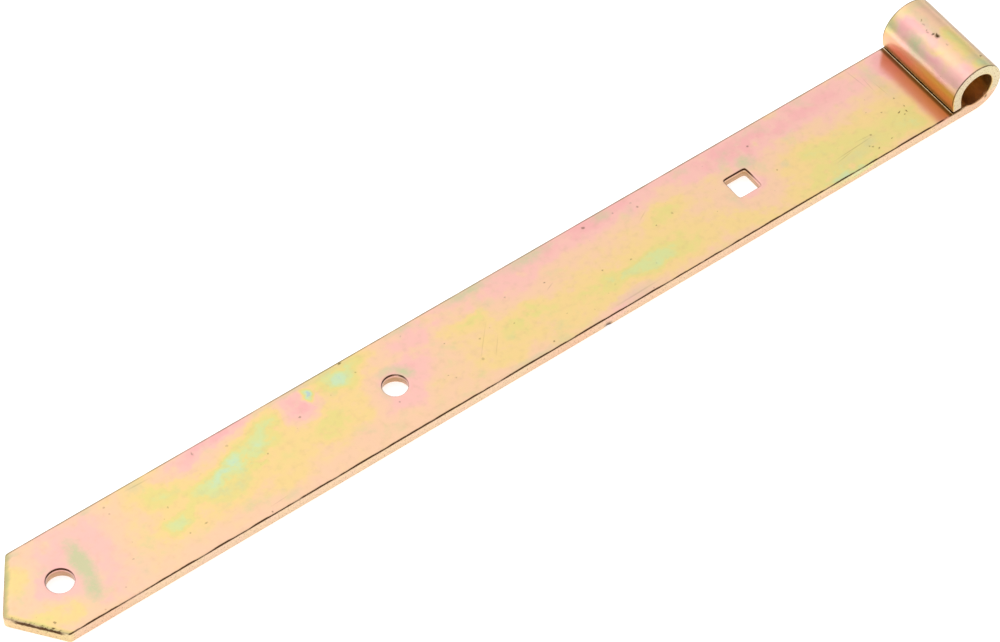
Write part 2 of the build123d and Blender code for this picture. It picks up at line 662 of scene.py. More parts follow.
@dataclass(frozen=True)
class YellowZinc:
    """Bright zinc under a yellow chromate film.

    A Span holds the two values between which a share rises or falls; where it tells a place, it is in mm.
    """

    shape: BarShape
    roughness: float = 0.24
    base_film: float = 0.38
    cloud: float = 0.21
    fine_cloud: float = 0.12
    film_stops: tuple[tuple[float, Colour], ...] = (
        (0.00, rgb(251, 187, 183)),
        (0.16, rgb(253, 198, 186)),
        (0.34, rgb(251, 208, 172)),
        (0.50, rgb(249, 216, 150)),
        (0.64, rgb(238, 220, 142)),
        (0.80, rgb(222, 226, 158)),
        (0.93, rgb(208, 230, 186)),
        (1.00, rgb(190, 212, 208)),
    )
    mottle: Layer = Layer(rgb(206, 176, 134), 0.22)
    veil: Layer = Layer(rgb(210, 206, 164), 0.85)
    rim: Layer = Layer(rgb(186, 180, 132), 0.8)
    # painted shade on the far flank of the eye
    far_flank_shade: Layer = Layer(rgb(150, 118, 78), 0.85)
    end: Layer = Layer(rgb(204, 196, 160), 0.8)
    side: Layer = Layer(rgb(232, 172, 150), 0.45)
    grit: Layer = Layer(rgb(150, 112, 72), 0.45)
    stain: Layer = Layer(rgb(96, 76, 46), 0.85)
    # painted reflection of the eye on the strap's face beside it
    painted_eye_reflection: Layer = Layer(rgb(214, 132, 104), 0.72)
    # painted reflection of the strap in the eye's underside
    under: Layer = Layer(rgb(220, 172, 70), 0.75)
    # the redder part of that painted reflection, towards the far end
    under_red_reflection: Layer = Layer(rgb(214, 132, 104), 0.14)
    crease: Layer = Layer(rgb(112, 80, 32), 0.9)
    wall: Layer = Layer(rgb(172, 130, 86), 0.9)
    bore: Layer = Layer(rgb(214, 182, 112), 0.8)
    # painted highlight along the ridge in front of the seam
    ridge_highlight_tone: Colour = rgb(255, 238, 200)
    # dark lines: painted reflection of the dim room in rounded edges and rims, and the dark tear and nick
    line_tone: Colour = rgb(78, 46, 20)
    # painted highlight at the foot of the eye's near mouth
    glow_tone: Colour = rgb(255, 196, 150)
    nick: Spot = Spot.mark(-164.8, -20.0, 2.2, 2.0, 1.3, 0, -10.2, 2.2)
    broad_noise: Grain = Grain(34.0, 6, 0.55)
    fine_noise: Grain = Grain(190.0, 6)
    mottle_noise: Grain = Grain(330.0, 7)
    veil_noise: Grain = Grain(95.0, 6)
    fray_noise: Grain = Grain(900.0, 3)
    grit_noise: Grain = Grain(1500.0, 3)
    torn_noise: Grain = Grain(700.0, 5, 0.6)
    gloss_noise: Grain = Grain(110.0, 4)
    rolling_grain: Grain = Grain(1100.0, 3, 0.06)
    skin_noise: Grain = Grain(520.0, 3)
    speck_scale: float = 230.0
    film_stir: Stir = Stir(75.0, 0.013)
    veil_stir: Stir = Stir(260.0, 0.004)
    stain_stir: Stir = Stir(900.0, 0.0012)
    nick_stir: Stir = Stir(800.0, 0.0015)
    above_face: Span = (0.3, 0.5)

    def make(self) -> bpy.types.Material:
        """Build the material.

        Returns:
            The finished material.
        """
        material, bench = new_material("yellow_zinc")
        site = Site(bench, self.shape)
        stains = self._stains(site)
        rims = self._rims(site)
        broad = site.noise(self.broad_noise)
        film = self._film(site, broad)
        colour = bench.node("ShaderNodeValToRGB", {"ramp": self.film_stops}, {0: film.clamp()}).outputs[0]
        for tone, share in (
            *self._plating(site, rims),
            *self._sheared(site, broad),
            self.stain.over(stains),
            *self._beside_eye(site),
            *self._walls_and_dark_lines(site),
            *self._inside_eye(site),
        ):
            colour = bench.mix(colour, tone, share)
        grain = site.noise(self.rolling_grain)
        roughness = site.noise(self.gloss_noise) * 0.10 + grain * 0.06 + rims * 0.12 + stains.clamp() * 0.25
        finish_surface(bench, {
            "Base Color": colour,
            "Metallic": 1.0,
            "Roughness": (roughness + self.roughness).clamp(),
            "Normal": self._bump(site, grain, stains),
        })
        return material

    def _film(self, site: Site, broad: Wire) -> Wire:
        """Work out the film's thickness over the surface.

        Args:
            site: The surface.
            broad: A noise of broad clouds.

        Returns:
            Thickness, 0 where the film looks pink and 1 where it looks blue.
        """
        half = self.shape.half_width
        edge_thinning, slope_gain = 0.05, 0.16
        fine = site.noise(self.fine_noise)
        film = (broad - 0.5) * (2 * self.cloud) + (fine - 0.5) * (2 * self.fine_cloud) + self.base_film
        film = film - site.from_middle.ease(half - 0.3, half - 0.1) * edge_thinning
        film = film + site.past_slopes().ease(-2.2, -0.4) * slope_gain
        return film + site.spots(site.stirred(self.film_stir), STRAP_FILM + EYE_FILM)

    def _plating(self, site: Site, rims: Wire) -> list[Coat]:
        """Mottle, veil and wear the film, and paint shade on the far flank of the eye.

        Args:
            site: The surface.
            rims: Where the bar's front rims are worn.

        Returns:
            Tones and how much of each shows, from the lowest up.
        """
        mottle = site.noise(self.mottle_noise).ease(0.46, 0.80)
        veil = site.noise(self.veil_noise).ease(0.56, 0.80) * 0.55
        veil = veil + site.spots(site.stirred(self.veil_stir), VEILS)
        fray = site.noise(self.fray_noise).ease(0.30, 0.62) * 0.3 + 0.7
        # painted shade: the eye's far flank, turned from the light, is darkened
        far_flank_shade = site.x.ease(4.6, 7.4) * site.outside_eye()
        return [
            self.mottle.over(mottle),
            self.veil.over(veil * fray),
            self.rim.over(rims),
            self.far_flank_shade.over(far_flank_shade),
        ]

    def _rims(self, site: Site) -> Wire:
        """Find the worn front rims of the bar: its long edges and its point.

        Args:
            site: The surface.

        Returns:
            1 on a worn rim, 0 away from it.
        """
        half = self.shape.half_width
        near_wear, near_slope_wear = 0.35, 0.8
        far_rim = (site.y + site.ragged * 1.4).ease(half - 0.2, half + 1.0)
        near_rim = (site.y * -1.0 + site.ragged * 1.4).ease(half, half + 1.2) * near_wear
        far_slope = (site.past_slope(1) + site.ragged * 2.6).ease(-1.3, 1.2)
        near_slope = (site.past_slope(-1) + site.ragged * 2.0).ease(-0.6, 1.2) * near_slope_wear
        rims = far_rim.larger(near_rim).larger(far_slope).larger(near_slope)
        return rims * site.on_front((-1.3, -0.5), self.above_face)

    def _sheared(self, site: Site, broad: Wire) -> list[Coat]:
        """Dress the sheared sides of the bar and the ends of the eye.

        Args:
            site: The surface.
            broad: A noise of broad clouds.

        Returns:
            Tones and how much of each shows, from the lowest up.
        """
        side_share = 0.40
        sides, eye_end = site.sides(), site.eye_end()
        grit = site.noise(self.grit_noise).ease(0.52, 0.66)
        return [
            (self.end.tone, (eye_end * self.end.share).larger(sides * side_share)),
            self.side.over(sides * (1.0 - eye_end) * broad.ease(0.40, 0.62)),
            self.grit.over((sides + eye_end * 0.5) * grit),
        ]

    def _stains(self, site: Site) -> Wire:
        """Gather the specks, pits and scratches.

        Args:
            site: The surface.

        Returns:
            How dark the marks are.
        """
        bench = site.bench
        speck_share, scratch_share = 0.6, 0.6
        stirred = site.stirred(self.stain_stir)
        cells = bench.node("ShaderNodeTexVoronoi", {}, {"Vector": stirred, "Scale": self.speck_scale})
        near = Wire(bench, cells.outputs["Distance"])
        pick = bench.node("ShaderNodeSeparateXYZ", {}, {0: cells.outputs["Color"]}).outputs
        chosen = Wire(bench, pick[0]).ease(0.35, 0.95)
        size = Wire(bench, pick[1]) * 0.11 + 0.04
        specks = (size - near).ease(0.0, 0.05) * chosen
        scratches = site.spots(site.place, SCRATCHES, scratch_share)
        return specks * speck_share + site.spots(stirred, STAINS) + scratches

    def _beside_eye(self, site: Site) -> list[Coat]:
        """Paint the eye's reflection on the strip beside it and the strap's reflection on the eye's
        underside, darken the crease before the seam, and paint a highlight on the ridge.

        Args:
            site: The surface.

        Returns:
            Tones and how much of each shows, from the lowest up.
        """
        # painted reflection of the eye in the strap's front face beside it
        strip = site.x.ease(-19.2, -15.4) * site.x.fade(-12.2, -11.4)
        slant = (site.y - site.x * 0.9).fade(28.0, 30.0)
        painted_eye_reflection = strip * slant * site.on_front((-1.0, -0.4), (0.3, 0.8))
        # painted reflection of the strap in the eye's underside, redder towards the far end
        low_outside = site.z.fade(2.6, 4.6) * site.z.ease(-5.6, -5.2) * site.outside_eye()
        under = (site.x * -1.0).ease(10.0, 10.6) * low_outside
        far_end = site.y.ease(-9.0, 5.0)
        past_seam = site.x - self.shape.seam_x
        crease = past_seam.ease(-2.4, -1.2) * past_seam.fade(3.0, 5.0)
        crease = crease * site.on_front((-0.8, -0.3), (0.3, 1.0))
        # painted highlight along the top of the ridge
        ridge = (site.x - self.shape.ridge_x).size().fade(0.08, 0.20)
        ridge = ridge * site.on_front((-0.2, 0.02), (0.3, 0.4))
        return [
            self.painted_eye_reflection.over(painted_eye_reflection),
            self.under.over(under * (1.0 - far_end * 0.45)),
            self.under_red_reflection.over(under * far_end),
            self.crease.over(crease),
            (self.ridge_highlight_tone, ridge * (site.ragged.ease(0.25, 0.5) * 0.5 + 0.5)),
        ]

    def _walls_and_dark_lines(self, site: Site) -> list[Coat]:
        """Darken the holes' walls, and paint dark lines on sheared and punched edges: a painted reflection
        of the dim room in the rounded edges and rims, with the dark tear and nick.

        Args:
            site: The surface.

        Returns:
            Tones and how much of each shows, from the lowest up.
        """
        walls, hole_rims = self._holes(site)
        # painted reflection: dark lines where rounded edges and hole rims mirror the dim room
        lines = self._edge_line(site).larger(hole_rims)
        lines = lines.larger(self._tear(site)).larger(self._thin_lines(site))
        return [self.wall.over(walls), (self.line_tone, lines)]

    def _holes(self, site: Site) -> tuple[Wire, Wire]:
        """Find the walls of the punched holes and the dark lines painted on their rims, a painted
        reflection of the dim room in the rolled-over rims.

        Args:
            site: The surface.

        Returns:
            The walls' share and the rim lines' share.
        """
        rim_inner, rim_outer = 0.45, 0.75
        drop = site.drop()
        deep = drop.ease(0.8, 2.0) * (site.ragged * 0.8 + 0.45)
        # painted reflection on the rim, darker on the far side of the hole
        line = drop.ease(0.03, 0.16) * drop.fade(0.70, 1.15) * (site.y.ease(-2.0, 2.5) * 0.7 + 0.3)
        line = line * (site.ragged.ease(0.26, 0.44) * 0.5 + 0.5)
        inside: Wire | float = 0.0
        for hole in self.shape.holes:
            aside = (site.x - hole.x).size()
            if hole.square:
                reach = site.from_middle.larger(aside)
            else:
                reach = (site.from_middle * site.from_middle + aside * aside) ** 0.5
            inside = reach.fade(hole.half + rim_inner, hole.half + rim_outer).larger(inside)
        return inside * deep, inside * line

    def _tear(self, site: Site) -> Wire:
        """Find the torn groove in the near slope, and the nick in the near side.

        Args:
            site: The surface.

        Returns:
            How dark they are.
        """
        tip_x, shoulder_x = self.shape.tip[0], self.shape.shoulder_x
        sway, darkness = 1.1, 0.94
        rough = site.noise(self.torn_noise)
        drop = site.drop() + (rough - 0.5) * sway
        band = drop.ease(0.0, 0.20) * drop.fade(1.25, 1.75)
        face = site.past_slope(-1).ease(-1.1, -0.7)
        ends = site.x.ease(tip_x + 1.0, tip_x + 3.0) * site.x.fade(shoulder_x - 2.2, shoulder_x - 0.8)
        nick = site.spots(site.stirred(self.nick_stir), [self.nick])
        return (band * face * ends * rough.ease(0.22, 0.34) + nick).clamp() * darkness

    def _edge_line(self, site: Site) -> Wire:
        """Find the dark line painted along the front edge of the near sheared side, a painted reflection of
        the dim room in the rounded edge.

        Args:
            site: The surface.

        Returns:
            How dark the line is.
        """
        half = self.shape.half_width
        drop = site.drop() + (site.ragged - 0.5) * 0.35
        line = drop.ease(0.02, 0.10) * drop.fade(0.46, 0.64)
        near_side = (site.y * -1.0).ease(half - 0.6, half - 0.35)
        past_shoulder = (site.x - self.shape.shoulder_x).ease(-0.8, 0.0)
        before_eye = (site.x * -1.0).ease(13.0, 16.0)
        return line * near_side * before_eye * past_shoulder * (site.ragged.ease(0.28, 0.46) * 0.45 + 0.48)

    def _thin_lines(self, site: Site) -> Wire:
        """Find the faint dark lines painted on the far long edge and round the eye's ends: painted shade on
        these rounded edges.

        Args:
            site: The surface.

        Returns:
            How dark the lines are.
        """
        half, eye_radius = self.shape.half_width, self.shape.eye_radius
        far_share, eye_share = 0.55, 0.75
        front = site.on_front((-1.0, -0.7), self.above_face)
        far = site.y.ease(half - 0.9, half - 0.4) * front * far_share
        from_middle = site.from_middle
        end_rim = from_middle.ease(half - 0.6, half - 0.4) * from_middle.fade(half - 0.12, half - 0.04)
        eye = site.radius.ease(eye_radius - 0.55, eye_radius - 0.35) * site.x.ease(-11.3, -10.9)
        eye = eye * end_rim * site.z.ease(-3.0, 0.0) * eye_share
        return far.larger(eye) * (site.ragged.ease(0.2, 0.55) * 0.7 + 0.3)

    def _inside_eye(self, site: Site) -> list[Coat]:
        """Darken the inside of the eye, and paint a highlight at the foot of its near mouth.

        Args:
            site: The surface.

        Returns:
            Tones and how much of each shows, from the lowest up.
        """
        shape = self.shape
        bore = self.bore.over(site.radius.fade(shape.bore_radius + 0.15, shape.bore_radius + 0.7))
        # painted highlight where the foot of the near mouth catches the light
        mouth = (site.y * -1.0).ease(9.0, shape.half_width - 0.5) * (site.z * -1.0).ease(3.0, 6.0)
        return [bore, (self.glow_tone, bore[1] * mouth)]

    def _bump(self, site: Site, grain: Wire, stains: Wire) -> bpy.types.NodeSocket:
        """Give the surface its grain, its skin and its pits.

        Args:
            site: The surface.
            grain: The rolling grain, which runs along the bar.
            stains: Specks, pits and scratches.

        Returns:
            The normal's socket.
        """
        grain_height, skin_height, pit_depth = 0.35, 0.5, 1.2
        skin = site.noise(self.skin_noise)
        height = grain * grain_height + skin * skin_height - stains.clamp() * pit_depth
        inputs = {"Height": height, "Strength": 0.22, "Distance": 0.2 * MM}
        return site.bench.node("ShaderNodeBump", {}, inputs).outputs[0]


@dataclass(frozen=True)
class StudioFloor:
    """Plain pale table, softly lit from below."""

    tone: Colour = (0.93, 0.93, 0.93, 1.0)
    glow_tone: Colour = (1.0, 1.0, 1.0, 1.0)
    glow: float = 0.70
    roughness: float = 0.9

    def make(self) -> bpy.types.Material:
        """Build the material.

        Returns:
            The finished material.
        """
        material, bench = new_material("studio_floor")
        finish_surface(bench, {
            "Base Color": self.tone,
            "Roughness": self.roughness,
            "Specular IOR Level": 0.0,
            "Emission Color": self.glow_tone,
            "Emission Strength": self.glow,
        })
        return material


# ------------------------------------------------------------------------------ mesh making
class Ring:
    """A closed run of vertices on the edge of a sheet, which rims are drawn out from."""

    def __init__(self, verts: list[bmesh.types.BMVert]) -> None:
        """Take the vertices in order round the run."""
        self.verts = verts

    @classmethod
    def all_on(cls, edges: Iterable[bmesh.types.BMEdge]) -> list[Ring]:
        """Find every closed run among boundary edges.

        Args:
            edges: Boundary edges.

        Returns:
            One ring for each closed run.
        """
        left = set(edges)
        rings = []
        while left:
            edge = left.pop()
            verts = [edge.verts[0], edge.verts[1]]
            while True:
                onward = [e for e in verts[-1].link_edges if e in left]
                if not onward:
                    break
                left.discard(onward[0])
                verts.append(onward[0].other_vert(verts[-1]))
            rings.append(cls(verts[:-1]))
        return rings

    @property
    def edges(self) -> list[bmesh.types.BMEdge]:
        """Find the edges between neighbouring vertices.

        Returns:
            The edges, in the ring's order.
        """
        after = self.verts[1:] + self.verts[:1]
        both = zip(self.verts, after)
        return [next(e for e in a.link_edges if e.other_vert(a) is b) for a, b in both]

    def outward(self) -> list[Vector]:
        """Find directions that move every side of the ring outwards by the same distance.

        Returns:
            One vector for each vertex, longer at a corner.
        """
        sharpest = 0.5
        places = [v.co.xy for v in self.verts]
        area = sum(a.x * b.y - a.y * b.x for a, b in zip(places, places[1:] + places[:1]))
        sense = 1 if area > 0 else -1
        count = len(places)
        out = []
        for i, here in enumerate(places):
            before = (here - places[i - 1]).normalized()
            after = (places[(i + 1) % count] - here).normalized()
            normal_before = Vector((before.y, -before.x)) * sense
            normal_after = Vector((after.y, -after.x)) * sense
            mean = (normal_before + normal_after).normalized()
            mean /= max(mean.dot(normal_after), sharpest)
            out.append(Vector((mean.x, mean.y, 0.0)))
        return out

    def draw_out(self, bm: bmesh.types.BMesh, places: Sequence[Vector]) -> Ring:
        """Extrude the ring and put its new vertices in place.

        Args:
            bm: The mesh.
            places: Where the new vertices go, in the ring's order.

        Returns:
            The new ring.
        """
        made = bmesh.ops.extrude_edge_only(bm, edges=self.edges)["geom"]
        fresh = {g for g in made if isinstance(g, bmesh.types.BMVert)}
        verts = []
        for old, place in zip(self.verts, places):
            new = next(e.other_vert(old) for e in old.link_edges if e.other_vert(old) in fresh)
            new.co = place
            verts.append(new)
        return Ring(verts)


class HoleShape(Enum):
    """Outline of a punched hole: the power that rounds its corners."""

    ROUND = 2
    SQUARE = 12


@dataclass
class PunchedHole:
    """A hole punched from the front of the bar to its back."""

    centre_x: float
    half_width: float
    shape: HoleShape
    rollover: float
    taper: float
    breakout: float
    patch_half: float = 7.2 * MM
    patch_cells: int = 8
    corner_pull: float = 1.55
    front_margin: float = 0.7 * MM
    back_margin: float = 0.8 * MM

    def stations(self) -> list[float]:
        """List the places along the bar where the sheet is divided for this hole."""
        step = 2 * self.patch_half / self.patch_cells
        return [self.centre_x - self.patch_half + step * i for i in range(self.patch_cells + 1)]

    def holds(self, face: bmesh.types.BMFace) -> bool:
        """Tell whether a face of the sheet lies in the patch that the hole replaces.

        Args:
            face: The face.

        Returns:
            True if it does.
        """
        middle = face.calc_center_median()
        near_x = abs(middle.x - self.centre_x) < self.patch_half
        return near_x and abs(middle.y) < self.patch_half

    def outline(self, count: int, start: float, sense: int, offset: float, height: float) -> list[Vector]:
        """List points round the hole.

        Args:
            count: Number of points.
            start: Direction of the first point from the centre.
            sense: 1 if they run anticlockwise, -1 if clockwise.
            offset: How far outside the hole's own outline they lie.
            height: Their height.

        Returns:
            The points in order.
        """
        power = self.shape.value
        reach = self.half_width + offset
        places = []
        for i in range(count):
            angle = start + sense * math.tau * i / count
            if self.shape is HoleShape.SQUARE:
                angle = self._gather(angle)
            c, s = math.cos(angle), math.sin(angle)
            radius = reach / (abs(c) ** power + abs(s) ** power) ** (1 / power)
            places.append(Vector((self.centre_x + radius * c, radius * s, height)))
        return places

    def _gather(self, angle: float) -> float:
        """Draw a direction towards the nearest corner of the square.

        Args:
            angle: The direction from the centre.

        Returns:
            The direction, nearer the corner.
        """
        quarter = math.pi / 2
        corner = (math.floor(angle / quarter) + 0.5) * quarter
        away = (angle - corner) / (quarter / 2)
        return corner + math.copysign(abs(away) ** self.corner_pull, away) * quarter / 2

    def wall(self, bm: bmesh.types.BMesh, front: Ring, back: Ring, thickness: float) -> None:
        """Draw the hole's wall from the front sheet to the back sheet.

        Args:
            bm: The mesh.
            front: The patch's edge on the front sheet.
            back: The patch's edge on the back sheet.
            thickness: The bar's thickness.
        """
        first = front.verts[0].co.xy - Vector((self.centre_x, 0))
        second = front.verts[1].co.xy - Vector((self.centre_x, 0))
        start = math.atan2(first.y, first.x)
        sense = 1 if first.x * second.y - first.y * second.x > 0 else -1
        roll, taper, burst = self.rollover, self.taper, self.breakout
        # Offset outside the hole's outline and depth below the front, from the front rim to the back one
        profile = (
            (1.9 * roll + self.front_margin, 0.0),
            (1.5 * roll, 0.06 * roll),
            (0.8 * roll, 0.28 * roll),
            (0.22 * roll, 0.75 * roll),
            (0.0, 1.4 * roll),
            (0.0, 0.40 * thickness),
            (0.12 * taper, 0.52 * thickness),
            (0.7 * taper, 0.80 * thickness),
            (taper, thickness - burst),
            (taper + 0.8 * burst, thickness),
            (taper + burst + self.back_margin, thickness),
        )
        ring = front
        for offset, depth in profile:
            ring = ring.draw_out(bm, self.outline(len(front.verts), start, sense, offset, -depth))
        bmesh.ops.bridge_loops(bm, edges=ring.edges + back.edges)


@dataclass
class RolledEye:
    """The eye: how the end of the blank is bent round the pin."""

    bore_radius: float
    outer_radius: float
    thickness: float
    front_z: float
    lip_lean: float = 0.6 * MM
    seam_gap: float = 0.3 * MM
    turn: float = 1.5 * math.pi

    @property
    def turn_length(self) -> float:
        """Length of blank in the three quarters of a turn that are round."""
        return self.turn * (self.bore_radius + self.outer_radius) / 2

    @property
    def lip_length(self) -> float:
        """Length of blank in the last quarter, which is almost straight."""
        return -self.front_z - self.seam_gap

    @property
    def blank_end(self) -> float:
        """Where the blank ends, measured along it from under the pin."""
        return self.turn_length + self.lip_length

    def bend(self, flat: Vector) -> Vector:
        """Take a point of the flat blank to its place on the rolled bar.

        Args:
            flat: Place along the blank, across it, and below its front face.

        Returns:
            The place on the finished strap.
        """
        along, across, depth = flat.x, flat.y, -flat.z
        share = depth / self.thickness
        if along <= 0:
            inner = self.front_z
            if along > -self.bore_radius:
                inner = min(inner, -math.sqrt(self.bore_radius ** 2 - along ** 2))
            return Vector((along, across, inner + (-self.outer_radius - inner) * share))
        radius = self.bore_radius + (self.outer_radius - self.bore_radius) * share
        if along <= self.turn_length:
            angle = along / self.turn_length * self.turn
            return Vector((radius * math.sin(angle), across, -radius * math.cos(angle)))
        down = along - self.turn_length
        lean = self.lip_lean * (down / self.lip_length) ** 2
        return Vector((lean - radius, across, -down))


@dataclass
class Blank:
    """The flat bar before it is rolled, with its point and its holes."""

    width: float
    thickness: float
    tip_x: float
    end_x: float
    holes: Sequence[PunchedHole]
    point_length: float = 14 * MM
    point_drift: float = -1.2 * MM
    point_rows: int = 3
    edge_round: float = 0.42 * MM
    shoulder_cut: float = 0.35
    tip_cut: float = 0.16
    nick_x: float = -165 * MM
    flat_step: float = 8.0 * MM
    roll_step: float = 3.0 * MM
    lip_step: float = 1.5 * MM
    rim_shares: tuple[float, ...] = (0.36, 0.68, 0.92, 1.0)
    nick_marks: tuple[float, ...] = (-3.0, -2.0, -1.0, 0.0, 1.0, 2.0, 3.0)
    seam_marks: tuple[float, ...] = (-13.0, -12.2, -11.6, -11.1, -10.7, -10.3, -9.8)

    @property
    def shoulder_x(self) -> float:
        """Where the point begins."""
        return self.tip_x + self.point_length

    def lanes(self) -> list[float]:
        """List the places across the bar where the sheet is divided.

        Returns:
            The places, from the near edge to the far one.
        """
        patch = self.holes[0]
        step = 2 * patch.patch_half / patch.patch_cells
        inner = [step * i - patch.patch_half for i in range(patch.patch_cells + 1)]
        edge = self.width / 2 - self.edge_round
        outer = [patch.patch_half + (edge - patch.patch_half) * share for share in self.rim_shares]
        return [-y for y in reversed(outer)] + inner + outer

    def stations(self) -> list[float]:
        """List the places along the bar where the sheet is divided, closer at the nick and the seam.

        Returns:
            The places, from the end hole to the end of the roll.
        """
        marks = list(self.holes[0].stations())
        nick = [self.nick_x + mark * MM for mark in self.nick_marks]
        for hole in self.holes[1:]:
            if marks[-1] < self.nick_x < hole.stations()[0]:
                marks += self._between(marks[-1], nick[0], self.flat_step) + nick
            marks += self._between(marks[-1], hole.stations()[0], self.flat_step)
            marks += hole.stations()
        seam = [mark * MM for mark in self.seam_marks]
        marks += self._between(marks[-1], seam[0], self.flat_step) + seam
        marks += self._between(marks[-1], 0.0, self.roll_step / 2) + [0.0]
        end = self.end_x - self.edge_round
        lip = end - self.lip_step
        marks += self._between(marks[-1], lip, self.roll_step) + [lip, end]
        return marks

    def _between(self, start: float, stop: float, step: float) -> list[float]:
        """Space places evenly between two others, about a step apart and without the two."""
        count = max(1, round((stop - start) / step))
        return [start + (stop - start) * i / count for i in range(1, count)]

    def tip_line(self, across: float) -> float:
        """Find where the sheet ends at the point.

        Args:
            across: Place across the bar.

        Returns:
            The place along the bar.
        """
        edge = self.width / 2 - self.edge_round
        start = self.shoulder_x + self.shoulder_cut * self.edge_round
        peak = self.tip_x + self.tip_cut * self.edge_round
        return start + (peak - start) * (1 - abs(across) / edge)

    def make(self) -> bmesh.types.BMesh:
        """Cut and punch the blank.

        Returns:
            The closed mesh of the flat blank, with its front face at height 0.
        """
        bm = bmesh.new()
        self._sheet(bm)
        front_faces = list(bm.faces)
        made = bmesh.ops.duplicate(bm, geom=bm.verts[:] + bm.edges[:] + bm.faces[:])["geom"]
        back_verts = [g for g in made if isinstance(g, bmesh.types.BMVert)]
        back_faces = [g for g in made if isinstance(g, bmesh.types.BMFace)]
        bmesh.ops.translate(bm, verts=back_verts, vec=(0, 0, -self.thickness))
        bmesh.ops.reverse_faces(bm, faces=back_faces)
        fronts = self._rings(front_faces)
        backs = self._rings(back_faces)
        for hole, front, back in zip(self.holes, fronts[1:], backs[1:]):
            hole.wall(bm, front, back, self.thickness)
        self._outer_rim(bm, fronts[0], backs[0])
        bmesh.ops.recalc_face_normals(bm, faces=bm.faces[:])
        return bm

    def _sheet(self, bm: bmesh.types.BMesh) -> None:
        """Lay out the front sheet, with a patch missing at every hole.

        Args:
            bm: The mesh that it is laid out in.
        """
        lanes, stations = self.lanes(), self.stations()
        columns = self.point_rows + len(stations)
        bmesh.ops.create_grid(bm, x_segments=columns - 1, y_segments=len(lanes) - 1, size=1.0)
        for vert in bm.verts:
            column = round((vert.co.x + 1) / 2 * (columns - 1))
            lane = round((vert.co.y + 1) / 2 * (len(lanes) - 1))
            across = lanes[lane]
            if column >= self.point_rows:
                vert.co = Vector((stations[column - self.point_rows], across, 0))
                continue
            share = 1 - column / self.point_rows
            tip = self.tip_line(across)
            along = stations[0] + (tip - stations[0]) * share
            drift = self.point_drift * share * (1 - abs(across) / lanes[-1])
            vert.co = Vector((along, across + drift, 0))
        lost = [face for face in bm.faces if any(hole.holds(face) for hole in self.holes)]
        bmesh.ops.delete(bm, geom=lost, context="FACES")

    def _rings(self, faces: Iterable[bmesh.types.BMFace]) -> list[Ring]:
        """Find a sheet's outer edge and the edges of its patches.

        Args:
            faces: The sheet's faces.

        Returns:
            The outer ring, and then the holes' rings from the point to the eye.
        """
        edges = {e for f in faces for e in f.edges if e.is_boundary}
        rings = Ring.all_on(edges)
        rings.sort(key=lambda ring: -len(ring.verts))
        return rings[:1] + sorted(rings[1:], key=lambda ring: ring.verts[0].co.x)

    def _outer_rim(self, bm: bmesh.types.BMesh, front: Ring, back: Ring) -> None:
        """Draw the bar's edge from the front sheet to the back sheet.

        Args:
            bm: The mesh.
            front: The front sheet's outer ring.
            back: The back sheet's outer ring.
        """
        soft = self.edge_round
        deep = self.thickness
        # Share of the edge round that a row stands out, and its depth below the front
        profile = (
            (0.50, 0.08 * soft), (0.86, 0.36 * soft), (1.0, soft), (1.0, 0.30 * deep), (1.0, 0.62 * deep),
            (1.0, deep - soft), (0.86, deep - 0.36 * soft), (0.50, deep - 0.08 * soft),
        )
        starts = [v.co.copy() for v in front.verts]
        outward = front.outward()
        ring = front
        for share, depth in profile:
            places = [s + o * share * soft - Vector((0, 0, depth)) for s, o in zip(starts, outward)]
            ring = ring.draw_out(bm, places)
        bmesh.ops.bridge_loops(bm, edges=ring.edges + back.edges)


